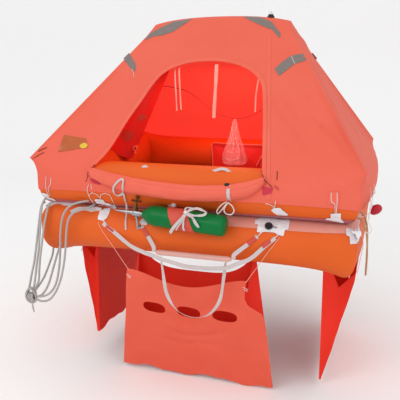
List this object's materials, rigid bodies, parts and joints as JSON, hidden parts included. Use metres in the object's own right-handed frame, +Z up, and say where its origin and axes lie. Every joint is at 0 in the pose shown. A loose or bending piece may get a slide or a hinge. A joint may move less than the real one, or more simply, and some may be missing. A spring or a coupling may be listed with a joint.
{
  "type": "life raft",
  "caption": "Inflatable life raft with stacked tubes, a hipped canopy on an arch tube, a rolled door, a boarding ladder, a gas cylinder and hanging ballast pockets.",
  "frame": {"origin": "centre of the plan at the waterline, 35 mm above the bottom of the lower tube", "axes": "+Z up, -Y out of the doorway, +X to the right of a person who looks at the doorway from outside"},
  "size_m": [2.1249, 1.6918, 2.2889],
  "materials": {
    "orange_tube_cloth": "rubber-coated cloth, dull sheen",
    "canopy_cloth": "coated canopy cloth, matte",
    "pocket_cloth": "thin coated cloth, matte",
    "pink_joint_tape": "glued tape, dull sheen",
    "floor_cloth": "rubber-coated cloth, matte",
    "green_paint": "gloss paint",
    "bright_metal": "satin nickel plate",
    "brass": "satin",
    "black_plastic": "matte",
    "white_plastic": "satin",
    "clear_plastic": "clear, glossy",
    "white_webbing": "woven webbing and rope",
    "pink_padding": "padded cloth",
    "red_foam": "painted foam",
    "red_cord": "thin braided cord"
  },
  "bodies": {
    "raft": {"upper_buoyancy_tube": "orange_tube_cloth", "lower_buoyancy_tube": "orange_tube_cloth", "upper_joint_band": "pink_joint_tape", "lower_joint_band": "pink_joint_tape", "raft_floor": "floor_cloth", "arch_tube": "pocket_cloth", "canopy_front_panel": "canopy_cloth", "canopy_back_panel": "canopy_cloth", "canopy_left_panel": "canopy_cloth", "canopy_right_panel": "canopy_cloth", "door_roll": "canopy_cloth", "front_ballast_pocket": "pocket_cloth", "left_ballast_pocket": "pocket_cloth", "right_ballast_pocket": "pocket_cloth", "front_pocket_cord_first": "white_webbing", "front_pocket_cord_second": "white_webbing", "left_pocket_cord_first": "white_webbing", "left_pocket_cord_second": "white_webbing", "right_pocket_cord_first": "white_webbing", "right_pocket_cord_second": "white_webbing", "gas_cylinder": "green_paint", "cylinder_band": "pocket_cloth", "cylinder_valve_head": "bright_metal", "pull_cable_sleeve": "bright_metal", "upper_inlet_elbow": "brass", "lower_inlet_elbow": "bright_metal", "upper_topping_valve": "white_plastic", "lower_topping_valve": "black_plastic", "beacon_foot": "black_plastic", "beacon_dome": "clear_plastic", "mooring_rope_corner": "white_webbing", "mooring_rope_outer": "white_webbing", "mooring_rope_inner": "white_webbing", "mooring_rope_knot": "white_webbing", "mooring_rope_tail": "white_webbing", "grab_line_right": "white_webbing", "rescue_float": "red_foam", "float_lanyard": "white_webbing", "stowage_pouch": "pocket_cloth", "clear_gear_bag": "clear_plastic", "lamp_cord": "red_cord"},
    "ladder": {"ladder_rung": "pink_padding", "ladder_main_strap": "white_webbing", "ladder_inner_strap_left": "white_webbing", "ladder_inner_strap_right": "white_webbing", "ladder_foot_loop": "white_webbing"}
  },
  "joints": [
    {"name": "ladder_swing", "type": "hinge", "parent": "raft", "child": "ladder", "pos_m": [0, -0.783, 0.158], "axis": [-1, 0, 0], "range_deg": [0, 60]}
  ]
}
